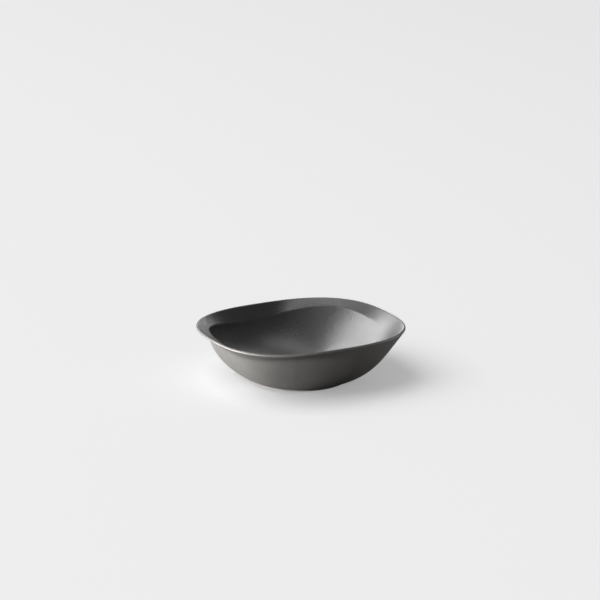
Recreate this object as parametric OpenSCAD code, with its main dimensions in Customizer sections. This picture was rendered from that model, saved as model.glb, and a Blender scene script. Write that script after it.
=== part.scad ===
// Small one-person side bowl in fired clay with a matt glaze.
// The rim is a flat rounded square. Inside it a sloping band runs down to a
// soft shoulder line, and below the shoulder the wall drops into the well.
// The shoulder dips and fades along two sides and is crisp at the corners.
// Millimetres. The origin is on the table under the middle of the rim,
// +X is the long way of the rim, +Y the short way, +Z is up.

/* [Rim] */
// Half of the rim's length, along X
rim_half_length = 77.4; // [70:0.1:90]
// Half of the rim's width, along Y
rim_half_width = 69.1; // [64:0.1:80]
// Squareness of the rim's outline: 2 is an ellipse, more is squarer
rim_squareness = 2.68; // [2.2:0.02:3.2]
// Height of the rim above the table
rim_height = 41.3; // [38:0.1:50]
// Thickness of the rounded lip
lip_thickness = 2.0; // [1.6:0.1:2.6]

/* [Band between lip and shoulder] */
// Mean width of the band, seen from above
band_width = 9.6; // [8.5:0.1:12]
// How much the width swells and narrows, twice around the bowl
band_swell_two = 2.9; // [0:0.1:3.2]
// Direction in degrees in which that swelling is widest
band_swell_two_at = 23; // [0:1:180]
// How much the width swells and narrows, four times around the bowl
band_swell_four = 1.2; // [0:0.1:1.5]
// Direction in degrees in which that swelling is widest
band_swell_four_at = 43; // [0:1:90]

/* [Shoulder line] */
// Mean depth of the shoulder below the rim
shoulder_depth = 7.3; // [7:0.1:9]
// How much deeper it lies on one side of the bowl than on the other
shoulder_tilt = 1.1; // [0:0.1:1.5]
// Direction in degrees of the deeper side
shoulder_tilt_at = -57; // [-180:1:180]
// How much it dips and rises, twice around the bowl
shoulder_dip_two = 2.7; // [0:0.1:3]
// Direction in degrees in which that dip is deepest
shoulder_dip_two_at = -62; // [-90:1:90]
// How much it dips and rises, three times around the bowl
shoulder_dip_three = 2.4; // [0:0.1:2.6]
// Direction in degrees in which that dip is deepest
shoulder_dip_three_at = -32; // [-60:1:60]
// How much it dips and rises, four times around the bowl
shoulder_dip_four = 1.2; // [0:0.1:1.4]
// Direction in degrees in which that dip is deepest
shoulder_dip_four_at = 15; // [-45:1:45]
// Length along each side of the shoulder that is rounded off
shoulder_rounding = 1.0; // [0.8:0.1:2]

/* [Wall below the shoulder] */
// Mean lean of the wall from upright, in degrees
wall_lean = 30.7; // [28:0.1:34]
// How much more it leans on one side of the bowl than on the other
wall_lean_tilt = 12.3; // [6:0.1:13]
// Direction in degrees of the side that leans most
wall_lean_tilt_at = -20; // [-40:1:0]
// How much the lean changes, twice around the bowl
wall_lean_two = 9.4; // [4:0.1:10]
// Direction in degrees in which that change leans most
wall_lean_two_at = 26; // [0:1:50]
// Thickness of the wall at the shoulder
wall_thickness = 2.4; // [2.2:0.1:3]
// Fraction of the wall's height over which the outside stays straight
outside_straightness = 0.72; // [0.6:0.01:0.8]
// Fraction of the wall's height over which the inside stays straight
inside_straightness = 0.66; // [0.6:0.01:0.74]

/* [Floor and foot] */
// Radius of the nearly flat floor of the well
floor_radius = 26; // [24:0.5:34]
// Height of the floor's edge above the table
floor_height = 4.8; // [4.6:0.1:6]
// Outer radius of the foot ring
foot_radius = 38; // [36:0.5:40]
// Width of the foot ring
foot_width = 4.2; // [3:0.1:6]
// Height of the foot ring below the wall
foot_height = 1.5; // [1.2:0.1:2]

/* [Glaze] */
// Thickness of the glaze coats
glaze_thickness = 0.35; // [0.3:0.01:0.5]

/* [Fineness] */
// Number of steps around the bowl
steps_around = 72; // [48:8:80]

/* [Hidden] */
lip_radius = lip_thickness / 2;
clay_colour = [0.36, 0.29, 0.23];
glaze_colour = [0.20, 0.20, 0.20];
// Outside slope just above the foot, in degrees from level
foot_slope = 9;
// Pull of the outside curve towards that slope
foot_pull = 0.25;
// The wall ends this far outside the foot ring
foot_overhang = 0.6;
// Pull of the inside curve along the slope of the floor's edge
floor_pull = 0.30;
// The floor's middle is this much lower than its edge
floor_dish = 0.8;
// Length along each side of the outside crease that is rounded off
crease_rounding = 4;
// The share of that length that lies on the band's side
crease_band_share = 0.6;
// The foot ring reaches this far up into the clay above it
foot_root = 1;
// Small round on the edges of the foot ring
foot_edge = 0.4;
// The bare edge left around the glaze on the base
base_glaze_gap = 0.6;
// What is left of the glaze's thickness next to the lip's edge and next to the foot
glaze_near_lip = 0.6;
glaze_near_foot = 0.7;
ring_fn = 96;

// Steps along the section, from the middle of the floor to the foot
floor_steps = 2;
wall_steps = 8;
shoulder_steps = 4;
band_steps = 3;
lip_steps = 6;
crease_steps = 4;
outside_steps = 9;

// Row numbers on the section where its stretches end
row_floor = floor_steps;
row_wall = row_floor + wall_steps;
row_shoulder = row_wall + shoulder_steps;
row_band = row_shoulder + band_steps;
row_lip = row_band + lip_steps;
row_crease = row_lip + 1 + crease_steps + 1;
row_last = row_crease + outside_steps;
// The inside glaze ends here and the outside glaze begins one row further
row_inside_end = row_band + 2;
row_outside_start = row_inside_end + 1;

// A quantity that rises and falls a number of times around the bowl
function wave(a, amount, times, at) = amount * cos(times * (a - at));

function band_width_to(a) =
    band_width
    + wave(a, band_swell_two, 2, band_swell_two_at)
    + wave(a, band_swell_four, 4, band_swell_four_at);

function shoulder_depth_to(a) =
    shoulder_depth
    + wave(a, shoulder_tilt, 1, shoulder_tilt_at)
    + wave(a, shoulder_dip_two, 2, shoulder_dip_two_at)
    + wave(a, shoulder_dip_three, 3, shoulder_dip_three_at)
    + wave(a, shoulder_dip_four, 4, shoulder_dip_four_at);

function wall_lean_to(a) =
    wall_lean
    + wave(a, wall_lean_tilt, 1, wall_lean_tilt_at)
    + wave(a, wall_lean_two, 2, wall_lean_two_at);

// Distance from the middle to the outline of the rim in direction a
function rim_radius(a) =
    pow(pow(abs(cos(a)) / rim_half_length, rim_squareness)
        + pow(abs(sin(a)) / rim_half_width, rim_squareness), -1 / rim_squareness);

// Points of Bezier curves at fraction t
function curve3(p, q, r, t) = (1 - t) * (1 - t) * p + 2 * t * (1 - t) * q + t * t * r;
function curve4(p, q, r, s, t) =
    pow(1 - t, 3) * p + 3 * t * pow(1 - t, 2) * q + 3 * t * t * (1 - t) * r + pow(t, 3) * s;

// The finished surface in direction a, as [distance from the middle, height],
// from the middle of the floor over the lip to the edge of the foot
function surface_section(a) =
    let (
        width = band_width_to(a),
        depth = shoulder_depth_to(a),
        lean = wall_lean_to(a),
        lip = [rim_radius(a) - lip_radius, rim_height - lip_radius],
        shoulder = [lip[0] - width, rim_height - depth],
        drop = depth - lip_radius,
        slope = atan2(drop, width) + asin(lip_radius / norm([width, drop])),
        band_in = [-cos(slope), -sin(slope)],
        band_out = [sin(slope), -cos(slope)],
        wall_down = [-sin(lean), -cos(lean)],
        wall_out = [cos(lean), -sin(lean)],
        spread = (lip_thickness + wall_thickness) / 2 / (1 + band_out * wall_out),
        crease = shoulder + spread * (band_out + wall_out),
        // inside
        bowl_edge = [floor_radius, floor_height],
        ridge_top = shoulder - shoulder_rounding * band_in,
        ridge_low = shoulder + shoulder_rounding * wall_down,
        in_fall = (ridge_low[1] - bowl_edge[1]) / cos(lean),
        in_upper = ridge_low + inside_straightness * in_fall * wall_down,
        floor_run = floor_pull * (ridge_low[0] - bowl_edge[0]),
        in_lower = bowl_edge + floor_run * [1, 2 * floor_dish / floor_radius],
        band_start = lip - lip_radius * band_out,
        // outside
        foot_edge_point = [foot_radius + foot_overhang, foot_height],
        under_lip = lip + lip_radius * band_out,
        crease_top = crease - crease_band_share * crease_rounding * band_in,
        crease_low = crease + crease_rounding * wall_down,
        out_fall = (crease_low[1] - foot_edge_point[1]) / cos(lean),
        out_upper = crease_low + outside_straightness * out_fall * wall_down,
        out_reach = foot_pull * (crease_low[0] - foot_edge_point[0]),
        out_lower = foot_edge_point + out_reach * [cos(foot_slope), sin(foot_slope)]
    )
    concat(
        [for (i = [0 : floor_steps - 1])
            let (f = i / floor_steps) [f * floor_radius, floor_height - floor_dish * (1 - f * f)]],
        [for (i = [0 : wall_steps]) curve4(bowl_edge, in_lower, in_upper, ridge_low, i / wall_steps)],
        [for (i = [1 : shoulder_steps]) curve3(ridge_low, shoulder, ridge_top, i / shoulder_steps)],
        [for (i = [1 : band_steps]) ridge_top + (band_start - ridge_top) * i / band_steps],
        [for (i = [1 : lip_steps])
            let (turn = 180 * i / lip_steps)
                lip - lip_radius * cos(turn) * band_out - lip_radius * sin(turn) * band_in],
        [(under_lip + crease_top) / 2],
        [for (i = [0 : crease_steps - 1]) curve3(crease_top, crease, crease_low, i / crease_steps)],
        [for (i = [0 : outside_steps])
            curve4(crease_low, out_upper, out_lower, foot_edge_point, i / outside_steps)]
    );

// Thickness of glaze on each row: none on the lip's edge and at the foot
function glaze_on(row) =
    row >= row_inside_end && row <= row_outside_start ? 0
    : row == row_last ? 0
    : row == row_last - 1 ? glaze_near_foot * glaze_thickness
    : row == row_inside_end - 1 || row == row_outside_start + 1 ? glaze_near_lip * glaze_thickness
    : glaze_thickness;

// Unit vector out of the surface at a row of a section
function outward(section, row) =
    row == 0 ? [0, 1]
    : let (
        before = section[row - 1],
        after = section[min(row + 1, row_last)],
        along = (after - before) / norm(after - before)
    ) [-along[1], along[0]];

// The clay under the glaze
function clay_section(a) =
    let (section = surface_section(a))
    [for (row = [0 : row_last]) section[row] - glaze_on(row) * outward(section, row)];

// Rows of a section between two row numbers, in either direction
function rows(section, first, last) =
    [for (row = [first : first < last ? 1 : -1 : last]) section[row]];

function direction(step) = 360 * step / steps_around;
function place(point, a) = [point[0] * cos(a), point[0] * sin(a), point[1]];

// Closed body from sections that start and end on the middle axis
module domed_body(sections) {
    count = len(sections[0]);
    rings = count - 2;
    low = rings * steps_around;
    points = concat(
        [for (row = [1 : rings], s = [0 : steps_around - 1]) place(sections[s][row], direction(s))],
        [place(sections[0][0], 0), place(sections[0][count - 1], 0)]
    );
    faces = concat(
        [for (s = [0 : steps_around - 1]) [low, (s + 1) % steps_around, s]],
        ring_faces(rings, false),
        [for (s = [0 : steps_around - 1])
            [low + 1, low - steps_around + s, low - steps_around + (s + 1) % steps_around]]
    );
    polyhedron(points = points, faces = faces, convexity = 6);
}

// Closed ring-shaped body from sections that are closed loops
module ring_body(sections) {
    rings = len(sections[0]);
    points = [for (row = [0 : rings - 1], s = [0 : steps_around - 1])
        place(sections[s][row], direction(s))];
    polyhedron(points = points, faces = ring_faces(rings, true), convexity = 6);
}

// Triangles between neighbouring rings of points
function ring_faces(rings, closed) =
    [for (row = [0 : rings - (closed ? 1 : 2)], s = [0 : steps_around - 1], half = [0, 1])
        let (
            next_row = (row + 1) % rings,
            next_s = (s + 1) % steps_around,
            p = row * steps_around + s,
            q = row * steps_around + next_s,
            r = next_row * steps_around + next_s,
            t = next_row * steps_around + s
        )
        half == 0 ? [p, q, r] : [p, r, t]];

// The one piece of fired clay, with its foot ring
module clay_body() {
    sections = [for (s = [0 : steps_around - 1])
        concat(clay_section(direction(s)), [[0, foot_height]])];
    color(clay_colour) {
        domed_body(sections);
        foot_ring();
    }
}

// The ring that the bowl stands on, left bare
module foot_ring() {
    inner = foot_radius - foot_width;
    top = foot_height + foot_root;
    rotate_extrude($fn = ring_fn) {
        polygon([
            [inner + foot_edge, 0],
            [foot_radius - foot_edge, 0],
            [foot_radius, foot_edge],
            [foot_radius, top],
            [inner, top],
            [inner, foot_edge]
        ]);
    }
}

// Glaze over the floor, the well, the band and up to the lip's edge
module inside_glaze() {
    sections = [for (s = [0 : steps_around - 1])
        let (a = direction(s))
        concat(
            rows(surface_section(a), 0, row_inside_end),
            rows(clay_section(a), row_inside_end - 1, 0)
        )];
    color(glaze_colour) domed_body(sections);
}

// Glaze from the lip's edge down the outside to just above the foot
module outside_glaze() {
    sections = [for (s = [0 : steps_around - 1])
        let (a = direction(s))
        concat(
            rows(surface_section(a), row_outside_start, row_last),
            rows(clay_section(a), row_last - 1, row_outside_start + 1)
        )];
    color(glaze_colour) ring_body(sections);
}

// Glaze on the base inside the foot ring
module base_glaze() {
    color(glaze_colour) {
        translate([0, 0, foot_height - glaze_thickness]) {
            cylinder(r = foot_radius - foot_width - base_glaze_gap, h = glaze_thickness, $fn = ring_fn);
        }
    }
}

clay_body();
inside_glaze();
outside_glaze();
base_glaze();
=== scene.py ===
from math import asin, atan2, cos, hypot, pi, radians, sin, tau

import bmesh
import bpy
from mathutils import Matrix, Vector


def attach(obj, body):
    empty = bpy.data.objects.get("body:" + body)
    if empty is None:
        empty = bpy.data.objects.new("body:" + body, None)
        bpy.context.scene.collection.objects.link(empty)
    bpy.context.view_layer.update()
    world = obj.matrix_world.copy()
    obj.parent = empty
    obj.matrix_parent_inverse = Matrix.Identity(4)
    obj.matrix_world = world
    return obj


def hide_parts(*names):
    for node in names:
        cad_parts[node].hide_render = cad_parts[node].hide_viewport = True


# %% [markdown]
# A small side bowl, glazed in matt dark grey.
# The bowl is one piece of fired stoneware. A potter sees three things on it: the bare clay of
# the foot ring and of a hairline along the lip, the glaze poured inside, and the glaze outside.
# The frame holds each of them as a plain faceted solid. This lesson remakes them with smooth
# surfaces, and then spends its time on what the glaze does to the light.

# %% Load the frame
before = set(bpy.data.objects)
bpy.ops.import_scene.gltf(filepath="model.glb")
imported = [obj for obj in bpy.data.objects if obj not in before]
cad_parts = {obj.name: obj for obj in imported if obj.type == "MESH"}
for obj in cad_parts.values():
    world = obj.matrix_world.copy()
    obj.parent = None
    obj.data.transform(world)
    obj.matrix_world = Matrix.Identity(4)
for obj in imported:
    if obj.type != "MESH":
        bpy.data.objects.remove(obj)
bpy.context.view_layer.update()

# %% [markdown]
# The shape is told by one section through the wall, which changes slowly around the bowl.
# It could be lofted from curves in the editor, but then the band, the shoulder and the wall
# would drift apart when one of them is edited. A rule keeps them together: the rim's outline is
# a rounded square, and the band's width, the shoulder's depth and the wall's lean each rise and
# fall a few times around the bowl.

# %% The bowl's driving dimensions, in metres and radians
MM = 0.001
RIM_HALF_LENGTH = 77.4 * MM
RIM_HALF_WIDTH = 69.1 * MM
RIM_SQUARENESS = 2.68
RIM_HEIGHT = 41.3 * MM
LIP_RADIUS = 1.0 * MM
WALL_THICKNESS = 2.4 * MM
SHOULDER_ROUNDING = 1.0 * MM
CREASE_ROUNDING = 4.0 * MM
CREASE_BAND_SHARE = 0.6
FLOOR_RADIUS = 26.0 * MM
FLOOR_HEIGHT = 4.8 * MM
FLOOR_DISH = 0.8 * MM
FOOT_RADIUS = 38.0 * MM
FOOT_WIDTH = 4.2 * MM
FOOT_HEIGHT = 1.5 * MM
FOOT_OVERHANG = 0.6 * MM
FOOT_SLOPE = radians(9)
FOOT_PULL = 0.25
FLOOR_PULL = 0.30
OUTSIDE_STRAIGHTNESS = 0.72
INSIDE_STRAIGHTNESS = 0.66
GLAZE = 0.35 * MM

# Each is a mean, and then waves of (amount, times around, direction of the peak in degrees)
BAND_WIDTH = 9.6, [(2.9, 2, 23), (1.2, 4, 43)]
SHOULDER_DEPTH = 7.3, [(1.1, 1, -57), (2.7, 2, -62), (2.4, 3, -32), (1.2, 4, 15)]
WALL_LEAN = 30.7, [(12.3, 1, -20), (9.4, 2, 26)]


def around(quantity, angle):
    """A quantity's value in one direction: its mean and its waves added up."""
    mean, waves = quantity
    return mean + sum(
        amount * cos(times * (angle - radians(peak))) for amount, times, peak in waves
    )


def rim_radius(angle):
    """Distance from the middle to the rim's outline, a rounded square."""
    along = (abs(cos(angle)) / RIM_HALF_LENGTH) ** RIM_SQUARENESS
    across = (abs(sin(angle)) / RIM_HALF_WIDTH) ** RIM_SQUARENESS
    return (along + across) ** (-1 / RIM_SQUARENESS)


for degrees in (0, 90, 150):
    print(
        f"direction {degrees}: band {around(BAND_WIDTH, radians(degrees)):.1f} mm wide,",
        f"shoulder {around(SHOULDER_DEPTH, radians(degrees)):.1f} mm deep,",
        f"wall leans {around(WALL_LEAN, radians(degrees)):.0f} degrees",
    )

# %% [markdown]
# The section itself runs from the middle of the floor, up the wall, round the shoulder, up the
# band, over the lip and down the outside to the foot. It could be drawn as a curve object, but a
# curve has only one shape, and this one changes with the direction. So it is worked out from a
# few corners. Straight stretches are joined by Bezier arcs, as a turner's template would have
# them.

# %% Two kinds of arc


def arc3(p, q, r, t):
    """A bend from p to r, pulled towards the corner q."""
    return p * (1 - t) ** 2 + q * 2 * t * (1 - t) + r * t**2


def arc4(p, q, r, s, t):
    """A sweep from p to s that leaves towards q and arrives from r."""
    return p * (1 - t) ** 3 + q * 3 * t * (1 - t) ** 2 + r * 3 * t * t * (1 - t) + s * t**3


bend_middle = arc3(Vector((0, 1)), Vector((0, 0)), Vector((1, 0)), 0.5)
print("a bend with sides of 1 passes its square corner at", round(bend_middle.length, 2))

# %% [markdown]
# The corners come first: the middle of the lip's round, the shoulder inside, and the crease
# outside, which is the same corner again on the other side of the wall. With them come the
# directions of the band and of the wall.

# %% The corners of the section


class Corners:
    """The corners and directions of the section in one direction around the bowl."""

    def __init__(self, angle):
        width = around(BAND_WIDTH, angle) * MM
        depth = around(SHOULDER_DEPTH, angle) * MM
        self.lean = radians(around(WALL_LEAN, angle))
        self.lip = Vector((rim_radius(angle) - LIP_RADIUS, RIM_HEIGHT - LIP_RADIUS))
        self.shoulder = Vector((self.lip.x - width, RIM_HEIGHT - depth))
        drop = depth - LIP_RADIUS
        slope = atan2(drop, width) + asin(LIP_RADIUS / hypot(width, drop))
        self.band_in = Vector((-cos(slope), -sin(slope)))
        self.band_out = Vector((sin(slope), -cos(slope)))
        self.wall_down = Vector((-sin(self.lean), -cos(self.lean)))
        wall_out = Vector((cos(self.lean), -sin(self.lean)))
        spread = (2 * LIP_RADIUS + WALL_THICKNESS) / 2 / (1 + self.band_out.dot(wall_out))
        self.crease = self.shoulder + spread * (self.band_out + wall_out)


print("lip, shoulder and crease towards +X, in mm:",
      [[round(v / MM, 1) for v in corner]
       for corner in (Corners(0.0).lip, Corners(0.0).shoulder, Corners(0.0).crease)])

# %% [markdown]
# Inside, the floor is slightly dished and its edge runs on into the wall without a kink. The wall
# sweeps up to the shoulder, the shoulder is a small bend, and the band is straight.

# %% The rows inside
FLOOR_STEPS, WALL_STEPS, SHOULDER_STEPS, BAND_STEPS = 10, 36, 14, 10
ROW_BAND = FLOOR_STEPS + WALL_STEPS + SHOULDER_STEPS + BAND_STEPS


def rows_inside(at):
    floor_edge = Vector((FLOOR_RADIUS, FLOOR_HEIGHT))
    ridge_top = at.shoulder - SHOULDER_ROUNDING * at.band_in
    ridge_low = at.shoulder + SHOULDER_ROUNDING * at.wall_down
    fall = (ridge_low.y - floor_edge.y) / cos(at.lean)
    upper = ridge_low + INSIDE_STRAIGHTNESS * fall * at.wall_down
    floor_run = FLOOR_PULL * (ridge_low.x - floor_edge.x)
    lower = floor_edge + floor_run * Vector((1, 2 * FLOOR_DISH / FLOOR_RADIUS))
    band_start = at.lip - LIP_RADIUS * at.band_out
    floor = [i / FLOOR_STEPS for i in range(FLOOR_STEPS)]
    rows = [Vector((f * FLOOR_RADIUS, FLOOR_HEIGHT - FLOOR_DISH * (1 - f * f))) for f in floor]
    rows += [arc4(floor_edge, lower, upper, ridge_low, i / WALL_STEPS) for i in range(WALL_STEPS)]
    rows += [
        arc3(ridge_low, at.shoulder, ridge_top, i / SHOULDER_STEPS) for i in range(SHOULDER_STEPS)
    ]
    return rows + [ridge_top.lerp(band_start, i / BAND_STEPS) for i in range(BAND_STEPS)]


print("rows from the middle of the floor to the lip:", ROW_BAND)

# %% [markdown]
# The lip is half a circle. Outside, the underside of the band is short and straight, the crease
# is a wider bend than the shoulder, and the wall sweeps down and in to the foot.

# %% The rows over the lip and outside
LIP_STEPS, UNDER_STEPS, CREASE_STEPS, OUTSIDE_STEPS = 18, 4, 12, 36
ROW_LIP = ROW_BAND + LIP_STEPS
ROW_LAST = ROW_LIP + UNDER_STEPS + CREASE_STEPS + OUTSIDE_STEPS


def rows_over_lip(at):
    turns = [pi * i / LIP_STEPS for i in range(LIP_STEPS)]
    return [
        at.lip - LIP_RADIUS * cos(turn) * at.band_out - LIP_RADIUS * sin(turn) * at.band_in
        for turn in turns
    ]


def rows_outside(at):
    foot_edge = Vector((FOOT_RADIUS + FOOT_OVERHANG, FOOT_HEIGHT))
    under_lip = at.lip + LIP_RADIUS * at.band_out
    crease_top = at.crease - CREASE_BAND_SHARE * CREASE_ROUNDING * at.band_in
    crease_low = at.crease + CREASE_ROUNDING * at.wall_down
    fall = (crease_low.y - foot_edge.y) / cos(at.lean)
    upper = crease_low + OUTSIDE_STRAIGHTNESS * fall * at.wall_down
    reach = FOOT_PULL * (crease_low.x - foot_edge.x)
    lower = foot_edge + reach * Vector((cos(FOOT_SLOPE), sin(FOOT_SLOPE)))
    rows = [under_lip.lerp(crease_top, i / UNDER_STEPS) for i in range(UNDER_STEPS)]
    rows += [
        arc3(crease_top, at.crease, crease_low, i / CREASE_STEPS) for i in range(CREASE_STEPS)
    ]
    return rows + [
        arc4(crease_low, upper, lower, foot_edge, i / OUTSIDE_STEPS)
        for i in range(OUTSIDE_STEPS + 1)
    ]


def section(angle):
    """The finished surface in one direction, as (distance from the middle, height)."""
    at = Corners(angle)
    return rows_inside(at) + rows_over_lip(at) + rows_outside(at)


print("rows on the section:", len(section(0.0)), "and the last one is number", ROW_LAST)

# %% [markdown]
# A glaze coat is a skin a third of a millimetre thick. It runs out to nothing at the lip, where
# molten glaze draws back from a sharp edge, and just above the foot, where the potter wipes it
# off so that the bowl doesn't stick to the kiln shelf. Between those edges a hairline of clay
# is left along the lip.

# %% Where the glaze lies
INSIDE_LIP_ROWS = 5
CLAY_LIP_ROWS = 4
LIP_THINNING_ROWS = 5
FOOT_THINNING_ROWS = 2
INSIDE_END = ROW_BAND + INSIDE_LIP_ROWS
OUTSIDE_START = INSIDE_END + CLAY_LIP_ROWS


def glaze_depth(row):
    """Thickness of the glaze on a row of the section."""
    if row <= INSIDE_END:
        share = (INSIDE_END - row) / LIP_THINNING_ROWS
    elif row >= OUTSIDE_START:
        share = min(
            (row - OUTSIDE_START) / LIP_THINNING_ROWS, (ROW_LAST - row) / FOOT_THINNING_ROWS
        )
    else:
        share = 0
    share = min(max(share, 0), 1)
    return GLAZE * share * (2 - share)


def clay_under(rows):
    """The clay's surface: the finished surface less the glaze on it."""
    clay = []
    for row, point in enumerate(rows):
        along = rows[min(row + 1, ROW_LAST)] - rows[max(row - 1, 0)]
        outward = Vector((0, 1)) if row == 0 else Vector((-along.y, along.x)).normalized()
        clay.append(point - glaze_depth(row) * outward)
    return clay


print("glaze on the floor, at the lip and on the outside, in mm:",
      [round(glaze_depth(row) / MM, 2) for row in (0, INSIDE_END + 1, (ROW_LIP + ROW_LAST) // 2)])

# %% [markdown]
# A bowl that is not round can't come from a spin alone, and a loft of many closed curves is hard
# to keep in step. So every skin is made as a potter makes the real one. A line of vertices along
# the section is spun once round the upright axis, like clay thrown on the wheel. Then the round
# pot is pressed out of round: each vertex moves to the section of its own direction. It
# remembers its row, so the rule knows where on the section it belongs.

# %% Spin a section and press it out of round
STEPS_AROUND = 288
SAME_PLACE = 1e-7


def press(mesh_maker, row_of, rows_towards):
    """Move each vertex of the round pot to its row on the section of its own direction."""
    known = {}
    for vertex in mesh_maker.verts:
        angle = atan2(vertex.co.y, vertex.co.x)
        step = round(angle / tau * STEPS_AROUND) % STEPS_AROUND
        turn = tau * step / STEPS_AROUND
        if step not in known:
            known[step] = rows_towards(turn)
        point = known[step][vertex[row_of]]
        vertex.co = (point.x * cos(turn), point.x * sin(turn), point.y)


def spin_and_press(rows_towards, loop=False, thinness=None):
    """A closed skin whose section in each direction is rows_towards(direction)."""
    mesh_maker = bmesh.new()
    row_of = mesh_maker.verts.layers.int.new("row")
    thin_of = mesh_maker.verts.layers.float.new("thin_glaze")
    line = []
    for row, point in enumerate(rows_towards(0.0)):
        vertex = mesh_maker.verts.new((point.x, 0, point.y))
        vertex[row_of] = row
        vertex[thin_of] = thinness(row) if thinness else 0
        line.append(vertex)
    edges = [mesh_maker.edges.new(pair) for pair in zip(line, line[1:])]
    if loop:
        edges.append(mesh_maker.edges.new((line[-1], line[0])))
    bmesh.ops.spin(mesh_maker, geom=line + edges, cent=(0, 0, 0), axis=(0, 0, 1), dvec=(0, 0, 0),
                   angle=tau, steps=STEPS_AROUND, use_merge=True, use_duplicate=False)
    bmesh.ops.remove_doubles(mesh_maker, verts=mesh_maker.verts, dist=SAME_PLACE)
    press(mesh_maker, row_of, rows_towards)
    bmesh.ops.recalc_face_normals(mesh_maker, faces=mesh_maker.faces)
    if mesh_maker.calc_volume(signed=True) < 0:
        bmesh.ops.reverse_faces(mesh_maker, faces=mesh_maker.faces)
    for face in mesh_maker.faces:
        face.smooth = True
    return mesh_maker


print(f"a spin of {STEPS_AROUND} steps puts {tau * RIM_HALF_LENGTH / STEPS_AROUND / MM:.1f} mm",
      "between two sections at the rim")

# %% [markdown]
# A finished bmesh then becomes a piece: an object at the origin, with its place in its mesh. It
# rides on the bowl's only body and stands for the frame's solid, which it hides. The count of open
# edges shows that the skin is closed.

# %% Keep a finished piece


def keep(mesh_maker, name, slot, *nodes):
    """Turn a finished bmesh into a piece that rides on the bowl in place of its frame solid."""
    open_edges = sum(1 for edge in mesh_maker.edges if len(edge.link_faces) != 2)
    mesh = bpy.data.meshes.new(name)
    volume = mesh_maker.calc_volume(signed=True)
    mesh_maker.to_mesh(mesh)
    mesh_maker.free()
    piece = bpy.data.objects.new(name, mesh)
    bpy.context.scene.collection.objects.link(piece)
    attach(piece, "root")
    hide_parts(*nodes)
    print(f"{name}: {len(mesh.polygons)} faces, {volume * 1e6:.2f} ml, {open_edges} open edges")
    return piece


# %% [markdown]
# The clay body carries everything. Its section ends at the edge of the foot and then crosses
# the base to the middle. The foot ring is part of the same clay, so its profile is in the
# same line of vertices: down the outside of the ring, across the face it stands on, up the
# inside, and over the base. The ring's edges are rounded, as a damp sponge leaves them.

# %% The clay body with its foot ring
FOOT_EDGE = 0.4 * MM
FOOT_INNER = FOOT_RADIUS - FOOT_WIDTH
QUARTER_TURN = [radians(15 * i) for i in range(7)]
FACE_SHARES = (0.8, 0.6, 0.4, 0.2)
BASE_SHARES = (1, 0.97, 0.8, 0.6, 0.4, 0.2, 0)


def foot_profile():
    """The clay from the foot's outer edge, round the ring and over the base to the middle."""
    outer_round = [
        Vector((FOOT_RADIUS - FOOT_EDGE * (1 - cos(a)), FOOT_EDGE * (1 - sin(a))))
        for a in QUARTER_TURN
    ]
    inner_round = [
        Vector((FOOT_INNER + FOOT_EDGE * (1 - sin(a)), FOOT_EDGE * (1 - cos(a))))
        for a in QUARTER_TURN
    ]
    face = [Vector((FOOT_INNER + FOOT_WIDTH * f, 0)) for f in FACE_SHARES]
    base = [Vector((FOOT_INNER * f, FOOT_HEIGHT)) for f in BASE_SHARES]
    return [Vector((FOOT_RADIUS, FOOT_HEIGHT))] + outer_round + face + inner_round + base


def clay_rows(angle):
    return clay_under(section(angle)) + foot_profile()


clay = keep(spin_and_press(clay_rows), "clay", "clay", "clay_body")

# %% [markdown]
# A glaze could be only a colour on the clay, but a coat of its own shows where it runs out and
# how thick it lies. The two coats follow the finished surface on one side and the clay on the
# other, so each of them is a thin closed skin. The inside coat covers the middle of the floor and
# is a lens; the outside coat is a ring, and its section is a closed loop.

# %% The glaze coats


def inside_rows(angle):
    """Up the finished surface to the lip, and back down the clay to the middle."""
    rows = section(angle)
    return rows[: INSIDE_END + 1] + clay_under(rows)[:INSIDE_END][::-1]


def outside_rows(angle):
    """Down the finished surface to the foot, and back up the clay to the lip."""
    rows = section(angle)
    return rows[OUTSIDE_START:] + clay_under(rows)[OUTSIDE_START + 1 : ROW_LAST][::-1]


def thinness_inside(row):
    """0 where the coat is full and 1 where it runs out; the clay's side counts as run out."""
    return 1 - glaze_depth(row) / GLAZE if row <= INSIDE_END else 1


def thinness_outside(index):
    row = OUTSIDE_START + index
    return 1 - glaze_depth(row) / GLAZE if row <= ROW_LAST else 1


inside = keep(
    spin_and_press(inside_rows, thinness=thinness_inside),
    "glaze_inside", "glaze", "inside_glaze",
)
outside = keep(
    spin_and_press(outside_rows, loop=True, thinness=thinness_outside),
    "glaze_outside", "glaze", "outside_glaze",
)

# %% [markdown]
# The base inside the foot ring is glazed too. The bare foot ring parts it from the outside coat,
# so it is a piece of its own. It is flat and round and could be spun as well, but a circle that
# is extruded to the coat's thickness is shorter to write. The bevel rounds its lower edge.

# %% The glaze on the base
BASE_GLAZE_GAP = 0.6 * MM
BASE_GLAZE_EDGE = 0.25 * MM
BASE_GLAZE_SIDES = 144
NEARLY_LEVEL = 0.999


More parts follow.
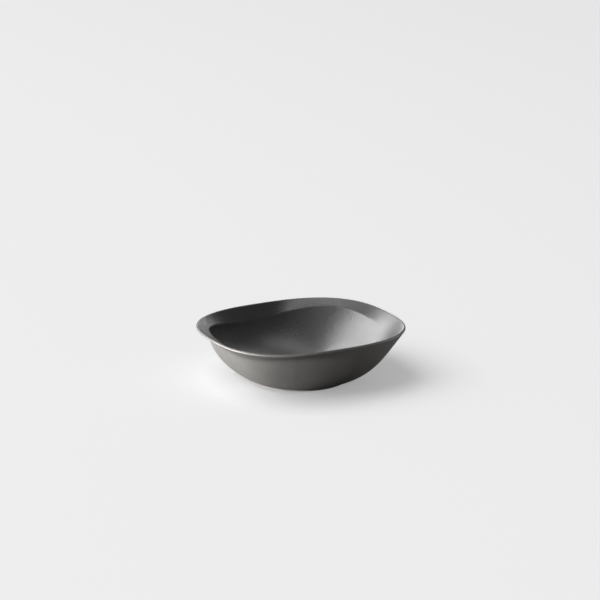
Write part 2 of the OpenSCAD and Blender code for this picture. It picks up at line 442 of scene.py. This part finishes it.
def base_disc():
    disc = bmesh.new()
    bmesh.ops.create_circle(
        disc, cap_ends=True, segments=BASE_GLAZE_SIDES, radius=FOOT_INNER - BASE_GLAZE_GAP
    )
    made = bmesh.ops.extrude_face_region(disc, geom=disc.faces[:])
    lower = [g for g in made["geom"] if isinstance(g, bmesh.types.BMVert)]
    bmesh.ops.translate(disc, verts=disc.verts, vec=(0, 0, FOOT_HEIGHT))
    bmesh.ops.translate(disc, verts=lower, vec=(0, 0, -GLAZE))
    rim_edges = [e for e in disc.edges if all(v in lower for v in e.verts)]
    bmesh.ops.bevel(disc, geom=rim_edges, offset=BASE_GLAZE_EDGE, segments=4, profile=0.5,
                    affect="EDGES", material=-1)
    bmesh.ops.recalc_face_normals(disc, faces=disc.faces)
    for face in disc.faces:
        face.smooth = abs(face.normal.z) < NEARLY_LEVEL
    return disc


base = keep(base_disc(), "glaze_base", "glaze", "base_glaze")

# %% [markdown]
# The finishes share four effects: grain, clouding, specks and runs. Each could be drawn again in
# every material, but then a change would have to be made several times. So each is a node group
# with named inputs, built once and placed where it is needed with its own values. All of them
# read a position, because a pattern that follows the object stays put when the view turns.

# %% How an effect becomes a group


def new_group(name, inputs, output):
    """A node group that reads a position and gives back one value."""
    group = bpy.data.node_groups.new(name, "ShaderNodeTree")
    group.interface.new_socket("Position", in_out="INPUT", socket_type="NodeSocketVector")
    for label, value in inputs.items():
        socket = group.interface.new_socket(label, in_out="INPUT", socket_type="NodeSocketFloat")
        socket.default_value = value
    group.interface.new_socket(output, in_out="OUTPUT", socket_type="NodeSocketFloat")
    return group, group.nodes.new("NodeGroupInput"), group.nodes.new("NodeGroupOutput")


def node(tree, kind, inputs=None, **settings):
    """A new node in a tree, with its settings and the values of its unlinked inputs."""
    made = tree.nodes.new("ShaderNode" + kind)
    for key, value in settings.items():
        setattr(made, key, value)
    for key, value in (inputs or {}).items():
        made.inputs[key].default_value = value
    return made


print("node groups before the first effect:", len(bpy.data.node_groups))

# %% [markdown]
# Grain is the fine unevenness that makes a matt surface matt: crystals that grew in the glaze as
# it cooled. Clouding is the slow change of tone over a pot, where the glaze went on thicker or
# thinner. An image of a real glaze could give both, but noise has no seams and no edges, and its
# size can be set in features for each metre.

# %% Grain and clouding
NOISE_ROUGHNESS = 0.6


def noise_group(name, size, detail, low, high, output):
    """Noise whose values between low and high are spread out to 0 and 1."""
    group, given, result = new_group(name, {"Size per metre": size}, output)
    noise = node(group, "TexNoise", {"Detail": detail, "Roughness": NOISE_ROUGHNESS})
    spread = node(group, "MapRange", {"From Min": low, "From Max": high})
    group.links.new(given.outputs["Position"], noise.inputs["Vector"])
    group.links.new(given.outputs["Size per metre"], noise.inputs["Scale"])
    group.links.new(noise.outputs["Fac"], spread.inputs["Value"])
    group.links.new(spread.outputs["Result"], result.inputs[output])
    return group


GRAIN = noise_group("grain", size=1500, detail=4, low=0.25, high=0.75, output="Height")
CLOUDING = noise_group("clouding", size=30, detail=3, low=0.32, high=0.68, output="Factor")
print("made the groups", GRAIN.name, "and", CLOUDING.name)

# %% [markdown]
# Specks are grains of iron in the clay that bleed through the glaze. Painting them by hand would
# take hours. A Voronoi texture scatters one point in each cell, and a small disc round each
# point makes the speck.

# %% Specks


def speckle_group():
    """Dots: 1 at the point of each cell, and 0 beyond the speck's size."""
    group, given, result = new_group("speckle", {"Size per metre": 400, "Speck": 0.12}, "Mask")
    cells = node(group, "TexVoronoi")
    edge = node(group, "MapRange", {"From Min": 0.0, "To Min": 1.0, "To Max": 0.0},
                interpolation_type="SMOOTHSTEP")
    group.links.new(given.outputs["Position"], cells.inputs["Vector"])
    group.links.new(given.outputs["Size per metre"], cells.inputs["Scale"])
    group.links.new(cells.outputs["Distance"], edge.inputs["Value"])
    group.links.new(given.outputs["Speck"], edge.inputs["From Max"])
    group.links.new(edge.outputs["Result"], result.inputs["Mask"])
    return group


SPECKLE = speckle_group()
print("made the group", SPECKLE.name)

# %% [markdown]
# Runs are the faint streaks that molten glaze leaves down a wall. A noise stretched along one
# axis gives streaks on a flat board. Round a bowl the streaks have to turn with the wall, so the
# noise is read by direction and height instead of by the three axes.

# %% Runs down the wall


def runs_group():
    """Streaks that change quickly around the bowl and slowly down it."""
    group, given, result = new_group("runs", {"Around": 30, "Down": 12}, "Factor")
    parts = node(group, "SeparateXYZ")
    turn = node(group, "Math", operation="ARCTAN2")
    across = node(group, "Math", operation="MULTIPLY")
    along = node(group, "Math", operation="MULTIPLY")
    place = node(group, "CombineXYZ")
    noise = node(group, "TexNoise", {"Scale": 1.0, "Detail": 2})
    spread = node(group, "MapRange", {"From Min": 0.35, "From Max": 0.65})
    links = group.links.new
    links(given.outputs["Position"], parts.inputs["Vector"])
    links(parts.outputs["Y"], turn.inputs[0])
    links(parts.outputs["X"], turn.inputs[1])
    links(turn.outputs["Value"], across.inputs[0])
    links(given.outputs["Around"], across.inputs[1])
    links(parts.outputs["Z"], along.inputs[0])
    links(given.outputs["Down"], along.inputs[1])
    links(across.outputs["Value"], place.inputs["X"])
    links(along.outputs["Value"], place.inputs["Y"])
    links(place.outputs["Vector"], noise.inputs["Vector"])
    links(noise.outputs["Fac"], spread.inputs["Value"])
    links(spread.outputs["Result"], result.inputs["Factor"])
    return group


RUNS = runs_group()
print("made the group", RUNS.name)

# %% [markdown]
# A material is a chain of nodes that ends in the Principled BSDF. The steps that both the glazes
# and the clay need are written once here: place a group, mix two colours, and scale and add
# values.

# %% Place, mix, scale and add


def place_group(tree, group, position, **values):
    """Put a group in a material, give it its values, and return its output."""
    placed = node(tree, "Group", node_tree=group)
    tree.links.new(position, placed.inputs["Position"])
    for label, value in values.items():
        placed.inputs[label.replace("_", " ")].default_value = value
    return placed.outputs[0]


def mix_colour(tree, factor, first, second):
    """The first colour where factor is 0 and the second where it is 1."""
    mixed = node(tree, "Mix", data_type="RGBA")
    tree.links.new(factor, mixed.inputs["Factor"])
    for label, colour in (("A", first), ("B", second)):
        socket = [s for s in mixed.inputs if s.name == label and s.type == "RGBA"][0]
        if isinstance(colour, tuple):
            socket.default_value = (*colour, 1)
        else:
            tree.links.new(colour, socket)
    return [s for s in mixed.outputs if s.type == "RGBA"][0]


def scaled(tree, value, amount):
    made = node(tree, "Math", operation="MULTIPLY")
    tree.links.new(value, made.inputs[0])
    made.inputs[1].default_value = amount
    return made.outputs["Value"]


def added(tree, first, second):
    made = node(tree, "Math", operation="ADD")
    tree.links.new(first, made.inputs[0])
    tree.links.new(second, made.inputs[1])
    return made.outputs["Value"]


print("groups ready for the materials:", sorted(group.name for group in bpy.data.node_groups))

# %% [markdown]
# Every material starts with its own tree and shader and the place on the object. Roughness and
# bump come from one height, so a raised grain is also a duller one, as on a real matt glaze.

# %% Start a material, and make it rough and bumpy
BUMP_STRENGTH = 0.6


def start_material(name):
    """A new material, its tree, its shader, and the place on the object."""
    material = bpy.data.materials.new(name)
    material.use_nodes = True
    tree = material.node_tree
    return material, tree, tree.nodes["Principled BSDF"], node(tree, "TexCoord").outputs["Object"]


def rough_and_bumpy(tree, shader, height, smooth, dull, relief):
    """Roughness from smooth to dull, and a bump of this relief, from the same height."""
    rough = node(tree, "MapRange", {"To Min": smooth, "To Max": dull})
    bump = node(tree, "Bump", {"Strength": BUMP_STRENGTH, "Distance": relief})
    tree.links.new(height, rough.inputs["Value"])
    tree.links.new(rough.outputs["Result"], shader.inputs["Roughness"])
    tree.links.new(height, bump.inputs["Height"])
    tree.links.new(bump.outputs["Normal"], shader.inputs["Normal"])


print("every bump is used at a strength of", BUMP_STRENGTH)

# %% [markdown]
# The glaze is a satin matt dark grey, and its gloss is broad and soft. Its tone drifts with
# the clouding, the runs and the grain, and the specks are darker dots on it. Where it thins out at
# the lip and above the foot, the clay's brown shows through, which potters call breaking. On the
# outside this edge colour is darker than both the coat and the clay: a brown tint with painted
# shade, for the shade under the lip and along the foot. Each coat already knows how thin it is at
# every vertex, so the edge colour follows the real edge.

# %% How a glaze is built up
CLOUD_SHARE, RUN_SHARE, GRAIN_SHARE = 0.45, 0.25, 0.3
SPECK_SHARE = 0.6
SPECK_DARKNESS = 0.4
GLAZE_IOR = 1.6


def glaze_material(name, dark, light, breaking_and_edge_shade, smooth, dull, relief):
    """A glaze whose tone drifts from dark to light and turns to the edge colour where it is thin.
    """
    material, tree, shader, where = start_material(name)
    clouds = place_group(tree, CLOUDING, where, Size_per_metre=26)
    runs = place_group(tree, RUNS, where)
    grain = place_group(tree, GRAIN, where, Size_per_metre=1100)
    specks = place_group(tree, SPECKLE, where, Size_per_metre=520, Speck=0.16)
    tone = added(tree, scaled(tree, clouds, CLOUD_SHARE), scaled(tree, runs, RUN_SHARE))
    tone = added(tree, tone, scaled(tree, grain, GRAIN_SHARE))
    body = mix_colour(tree, tone, dark, light)
    speck_colour = tuple(SPECK_DARKNESS * c for c in dark)
    body = mix_colour(tree, scaled(tree, specks, SPECK_SHARE), body, speck_colour)
    thin = node(tree, "Attribute", attribute_name="thin_glaze").outputs["Fac"]
    tree.links.new(mix_colour(tree, thin, body, breaking_and_edge_shade), shader.inputs["Base Color"])
    shader.inputs["IOR"].default_value = GLAZE_IOR
    rough_and_bumpy(tree, shader, grain, smooth, dull, relief)
    return material


print("shares of clouding, runs and grain in the tone:", CLOUD_SHARE, RUN_SHARE, GRAIN_SHARE)

# %% [markdown]
# Both coats are one glaze, but its tones are given twice: lighter on the coat outside, which is
# painted light for the strong light that falls there, and darker inside, which is painted shade
# for the well. The inside is also more satin, and the outside duller. Two materials made apart
# could drift into two kinds of glaze, so the same recipe makes both, each with its own tones,
# gloss and relief. The base is glazed with the outside.

# %% The one glaze, with painted light outside and painted shade inside
# Painted shade: the inside's tones are darker, for the shade that lies in the well.
GLAZE_INSIDE_PAINTED_SHADE = glaze_material(
    "glaze_inside_painted_shade",
    dark=(0.023, 0.023, 0.024), light=(0.042, 0.042, 0.041), breaking_and_edge_shade=(0.066, 0.059, 0.054),
    smooth=0.30, dull=0.42, relief=0.22 * MM,
)
# Painted light: the outside's tones are lighter, for the strong light on the outside.
GLAZE_OUTSIDE_PAINTED_LIGHT = glaze_material(
    "glaze_outside_painted_light",
    # The edge colour here is painted shade with a brown tint: darker than the coat and the clay.
    dark=(0.046, 0.044, 0.0415), light=(0.073, 0.070, 0.0655), breaking_and_edge_shade=(0.044, 0.037, 0.033),
    smooth=0.46, dull=0.60, relief=0.1 * MM,
)
inside.data.materials.append(GLAZE_INSIDE_PAINTED_SHADE)
for piece in (outside, base):
    piece.data.materials.append(GLAZE_OUTSIDE_PAINTED_LIGHT)
for piece in (inside, outside, base):
    print(piece.name, "is finished with", piece.data.materials[0].name)

# %% [markdown]
# The bare clay is a grey-brown stoneware with darker grains of grog. It shows on the foot ring
# and as a hairline along the lip. It takes no gloss, and it feels gritty on the face that the
# bowl stands on. A plain brown would look like plastic, so it uses the same groups as the glaze,
# with a finer size, and leaves out the runs.

# %% The bare clay


def clay_material(dark, light, grog, smooth, dull, relief):
    """Clay whose tone drifts from dark to light, with specks of grog."""
    material, tree, shader, where = start_material("bare_clay")
    clouds = place_group(tree, CLOUDING, where, Size_per_metre=60)
    specks = place_group(tree, SPECKLE, where, Size_per_metre=900, Speck=0.22)
    grain = place_group(tree, GRAIN, where, Size_per_metre=2500)
    body = mix_colour(tree, clouds, dark, light)
    tree.links.new(mix_colour(tree, specks, body, grog), shader.inputs["Base Color"])
    rough_and_bumpy(tree, shader, grain, smooth, dull, relief)
    return material


clay.data.materials.append(
    clay_material(
        dark=(0.061, 0.055, 0.052), light=(0.090, 0.082, 0.077), grog=(0.045, 0.038, 0.033),
        smooth=0.7, dull=0.9, relief=0.1 * MM,
    )
)
print("slots on the clay:", [slot.material.name for slot in clay.material_slots])

# %% [markdown]
# The bowl stands on a wide pale table. One flat face is enough, so long as its edge is far out of
# view. It lies a hair below the foot, because two faces in the same place flicker. The table
# gives off a little light of its own, as a backlit sweep of paper does, which keeps the shadow on
# it light and soft. That glow and the paleness are for the eye only: the light that the table
# throws back onto the bowl is held lower, or the bowl's underside would lose its shade.

# %% The table
TABLE_HALF = 8.0
TABLE_GAP = 0.05 * MM
TABLE_GLOW = 0.31
TABLE_COLOUR = (0.80, 0.80, 0.81)
TABLE_BOUNCE = (0.50, 0.50, 0.50)
TABLE_ROUGHNESS = 0.9
TABLE_SHEEN = 0.1
BLACK, WHITE = (0, 0, 0), (1, 1, 1)


def table():
    top = bmesh.new()
    bmesh.ops.create_grid(top, x_segments=1, y_segments=1, size=TABLE_HALF)
    bmesh.ops.translate(top, verts=top.verts, vec=(0, 0, -TABLE_GAP))
    mesh = bpy.data.meshes.new("table")
    top.to_mesh(mesh)
    top.free()
    piece = bpy.data.objects.new("table", mesh)
    bpy.context.scene.collection.objects.link(piece)
    material, tree, shader, _ = start_material("pale_table")
    seen = node(tree, "LightPath").outputs["Is Camera Ray"]
    tree.links.new(mix_colour(tree, seen, TABLE_BOUNCE, TABLE_COLOUR), shader.inputs["Base Color"])
    tree.links.new(mix_colour(tree, seen, BLACK, WHITE), shader.inputs["Emission Color"])
    shader.inputs["Roughness"].default_value = TABLE_ROUGHNESS
    shader.inputs["Specular IOR Level"].default_value = TABLE_SHEEN
    shader.inputs["Emission Strength"].default_value = TABLE_GLOW
    mesh.materials.append(material)
    return piece


sweep = table()
print("the table is", 2 * TABLE_HALF, "m wide")

# %% [markdown]
# The camera looks at the bowl from one corner and slightly above, so the rim shows as a narrow
# rounded diamond and the far wall of the well is in view. A wide lens from close by would swell
# the near rim, so a long lens is used from nearly two metres away.

# %% The camera
CAMERA_TURN = radians(-28.4)
CAMERA_RISE = radians(16.4)
CAMERA_DISTANCE = 1.85
LENS_MM, SENSOR_MM = 144, 36
NEAREST_SEEN = 0.05
SIDEWAYS, UPWARDS = -0.0005, 0.0193
RIM_MIDDLE = Vector((0, 0, RIM_HEIGHT))


def way_from_middle(turn, rise):
    """The direction from the bowl that is turned this far from +X and rises this much."""
    return Vector((cos(turn) * cos(rise), sin(turn) * cos(rise), sin(rise)))


back = way_from_middle(CAMERA_TURN - pi / 2, CAMERA_RISE)
right = way_from_middle(CAMERA_TURN, 0)
up = back.cross(right)
camera_data = bpy.data.cameras.new("camera")
camera_data.lens = LENS_MM
camera_data.sensor_width = SENSOR_MM
camera_data.clip_start = NEAREST_SEEN
camera = bpy.data.objects.new("camera", camera_data)
camera.location = RIM_MIDDLE + CAMERA_DISTANCE * back + SIDEWAYS * right + UPWARDS * up
camera.rotation_euler = (-back).to_track_quat("-Z", "Y").to_euler()
bpy.context.scene.collection.objects.link(camera)
bpy.context.scene.camera = camera
print("camera at", [round(v, 3) for v in camera.location])

# %% [markdown]
# The light comes from large soft windows. The well is lit from behind on the left, from the far
# side and from above. The shell is lit from low down on the left, with a weak window on the right
# for the edge of the shaded side. A dark glaze needs far more light than a pale table, and one
# set of lamps for both would burn the table out, so each lamp is given only the pieces it is
# meant for. The table has a lamp of its own, and the bowl still casts its shadow in it.

# %% The lights
LAMP_DISTANCE = 8.0


def window(name, towards, rise, size, watts, *lit):
    """A soft square light on these pieces only; towards is measured from the camera's right."""
    lamp = bpy.data.lights.new(name, "AREA")
    lamp.size = size
    lamp.energy = watts
    way = way_from_middle(radians(towards) + CAMERA_TURN, radians(rise))
    holder = bpy.data.objects.new(name, lamp)
    holder.location = way * LAMP_DISTANCE
    holder.rotation_euler = way.to_track_quat("Z", "Y").to_euler()
    bpy.context.scene.collection.objects.link(holder)
    group = bpy.data.collections.new(name + "_lights")
    for piece in lit:
        group.objects.link(piece)
    holder.light_linking.receiver_collection = group
    print(f"{name}: {watts} W from {towards} degrees, {rise} degrees up")


well = (inside,)
shell = (outside, clay, base)
# name, degrees round, degrees up, metres across, watts, and the pieces it lights
window("back_window", 148, 39, 2.6, 710, *well)
window("far_window", 72, 36, 3.0, 175, *well)
window("horizon_window", 106, 6, 3.0, 170, *well)
window("roof_window", 90, 88, 3.0, 160, *well)
window("side_window", 172, 6, 3.0, 3000, *shell)
window("front_window", 208, 7, 3.0, 3250, *shell)
window("right_window", 15, 6, 3.0, 420, *shell)
window("table_window", 190, 57, 8.0, 450, sweep)

# %% [markdown]
# The room itself gives an even, weak light from all sides, so no shade is quite black. The plain
# view transform shows the colours as they were set.

# %% The room
ROOM_STRENGTH = 0.22
world = bpy.data.worlds.new("pale_room")
bpy.context.scene.world = world
world.use_nodes = True
sky = world.node_tree.nodes["Background"]
sky.inputs["Color"].default_value = (*WHITE, 1)
sky.inputs["Strength"].default_value = ROOM_STRENGTH
bpy.context.scene.view_settings.view_transform = "Standard"
print("room light set to", ROOM_STRENGTH)
